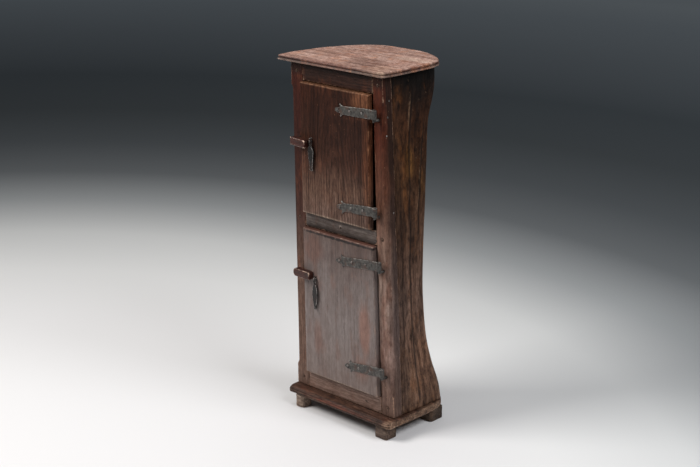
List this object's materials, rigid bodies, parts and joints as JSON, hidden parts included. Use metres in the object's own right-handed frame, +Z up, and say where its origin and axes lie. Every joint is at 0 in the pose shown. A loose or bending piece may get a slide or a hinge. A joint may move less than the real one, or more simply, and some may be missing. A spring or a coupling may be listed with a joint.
{
  "type": "trunk cupboard",
  "caption": "Small free-standing cupboard hollowed from a waisted trunk, with a pegged front frame, two plank doors one above the other, strap hinges, turn latches and drop pulls.",
  "frame": {"origin": "centre of the bounding box in plan, on the floor", "axes": "+Z up, -Y towards the front with the doors, +X towards the hinge side"},
  "size_m": [0.4822, 0.3534, 1.15],
  "materials": {
    "trunk_wood": "worn waxed bark-side timber, fluted",
    "top_wood": "worn wax",
    "base_wood": "worn wax",
    "foot_wood": "worn",
    "inner_wood": "bare",
    "frame_wood": "old wax",
    "peg_wood": "worn",
    "upper_door_wood": "old wax",
    "lower_door_wood": "dull old wax",
    "latch_wood": "polished by hands",
    "iron": "forged, dull, browned"
  },
  "bodies": {
    "carcass": {"trunk_shell": "trunk_wood", "top_board": "top_wood", "base_board": "base_wood", "foot_front_right": "foot_wood", "foot_front_left": "foot_wood", "foot_rear_right": "foot_wood", "foot_rear_left": "foot_wood", "divider_shelf": "inner_wood", "shelf_ledge_right": "inner_wood", "shelf_ledge_left": "inner_wood", "left_stile": "frame_wood", "right_stile": "frame_wood", "top_rail": "frame_wood", "middle_rail": "frame_wood", "bottom_rail": "frame_wood", "bottom_rail_left_peg": "peg_wood", "bottom_rail_right_peg": "peg_wood", "middle_rail_left_peg": "peg_wood", "middle_rail_right_peg": "peg_wood", "top_rail_left_peg": "peg_wood", "top_rail_right_peg": "peg_wood", "upper_latch_rest_peg": "peg_wood", "lower_latch_rest_peg": "peg_wood", "stile_nail_1": "iron", "stile_nail_2": "iron", "stile_nail_3": "iron", "stile_nail_4": "iron", "upper_door_top_pintle": "iron", "upper_door_bottom_pintle": "iron", "lower_door_top_pintle": "iron", "lower_door_bottom_pintle": "iron"},
    "upper_door": {"upper_door": "upper_door_wood", "upper_door_top_strap": "iron", "upper_door_bottom_strap": "iron", "upper_door_top_nail_1": "iron", "upper_door_top_nail_2": "iron", "upper_door_top_nail_3": "iron", "upper_door_bottom_nail_1": "iron", "upper_door_bottom_nail_2": "iron", "upper_door_bottom_nail_3": "iron", "upper_pull_staple": "iron"},
    "lower_door": {"lower_door": "lower_door_wood", "lower_door_top_strap": "iron", "lower_door_bottom_strap": "iron", "lower_door_top_nail_1": "iron", "lower_door_top_nail_2": "iron", "lower_door_top_nail_3": "iron", "lower_door_bottom_nail_1": "iron", "lower_door_bottom_nail_2": "iron", "lower_door_bottom_nail_3": "iron", "lower_pull_staple": "iron"},
    "upper_latch": {"upper_latch_grip": "latch_wood", "upper_latch_spindle": "peg_wood", "upper_latch_tongue": "latch_wood"},
    "lower_latch": {"lower_latch_grip": "latch_wood", "lower_latch_spindle": "peg_wood", "lower_latch_tongue": "latch_wood"},
    "upper_pull": {"upper_pull": "iron"},
    "lower_pull": {"lower_pull": "iron"}
  },
  "joints": [
    {"name": "upper_door_swing", "type": "hinge", "parent": "carcass", "child": "upper_door", "pos_m": [0.16474, -0.15329, 0.723], "axis": [0, 0, 1], "range_deg": [0, 170]},
    {"name": "lower_door_swing", "type": "hinge", "parent": "carcass", "child": "lower_door", "pos_m": [0.19049, -0.15329, 0.213], "axis": [-0.028, 0, 0.9996], "range_deg": [0, 170]},
    {"name": "upper_latch_turn", "type": "hinge", "parent": "upper_door", "child": "upper_latch", "pos_m": [-0.12836, -0.13469, 0.888], "axis": [0, 1, 0], "range_deg": [0, 90]},
    {"name": "lower_latch_turn", "type": "hinge", "parent": "lower_door", "child": "lower_latch", "pos_m": [-0.12536, -0.13469, 0.4625], "axis": [0, 1, 0], "range_deg": [0, 90]},
    {"name": "upper_pull_swing", "type": "hinge", "parent": "upper_door", "child": "upper_pull", "pos_m": [-0.10136, -0.15619, 0.903], "axis": [-1, 0, 0], "range_deg": [0, 100]},
    {"name": "lower_pull_swing", "type": "hinge", "parent": "lower_door", "child": "lower_pull", "pos_m": [-0.09386, -0.15619, 0.4545], "axis": [-1, 0, 0], "range_deg": [0, 100]}
  ]
}
